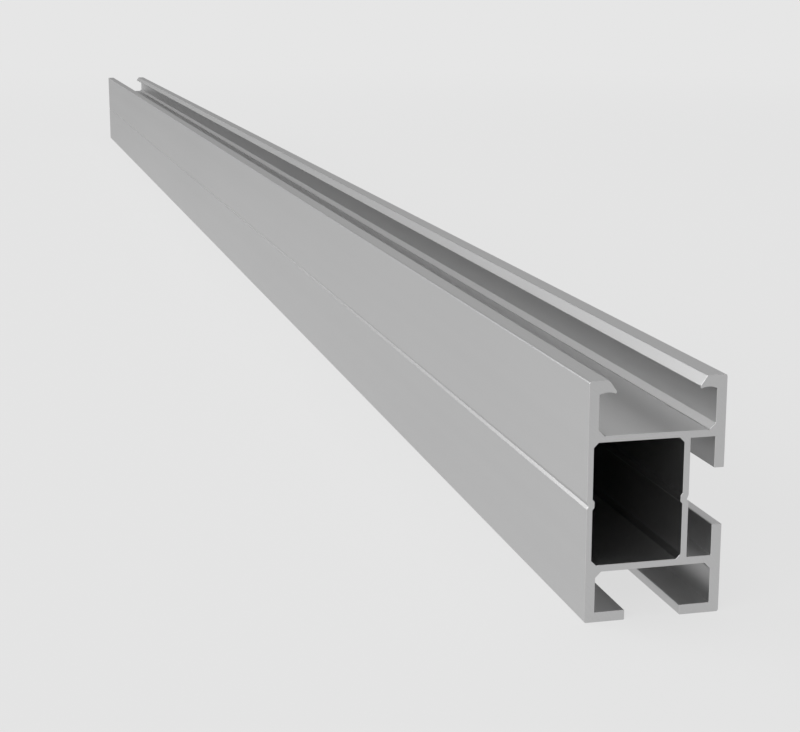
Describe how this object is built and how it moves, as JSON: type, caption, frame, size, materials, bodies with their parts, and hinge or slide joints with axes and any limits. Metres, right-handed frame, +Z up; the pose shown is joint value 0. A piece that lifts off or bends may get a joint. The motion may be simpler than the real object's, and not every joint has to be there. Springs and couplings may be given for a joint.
{
  "type": "solar mounting rail",
  "caption": "Straight extruded aluminium rail with a closed chamber and open channels on top, below and on one side, for carrying solar modules on a roof.",
  "frame": {"origin": "middle of the underside, between the two bottom lips", "axes": "+X along the rail, +Y towards the side with the bolt channel, +Z up to the module seat"},
  "size_m": [1.4, 0.035, 0.06],
  "materials": {
    "aluminium": "mill-finish extruded aluminium, satin, with fine die lines along its length"
  },
  "bodies": {
    "root": {"rail": "aluminium"}
  },
  "joints": []
}
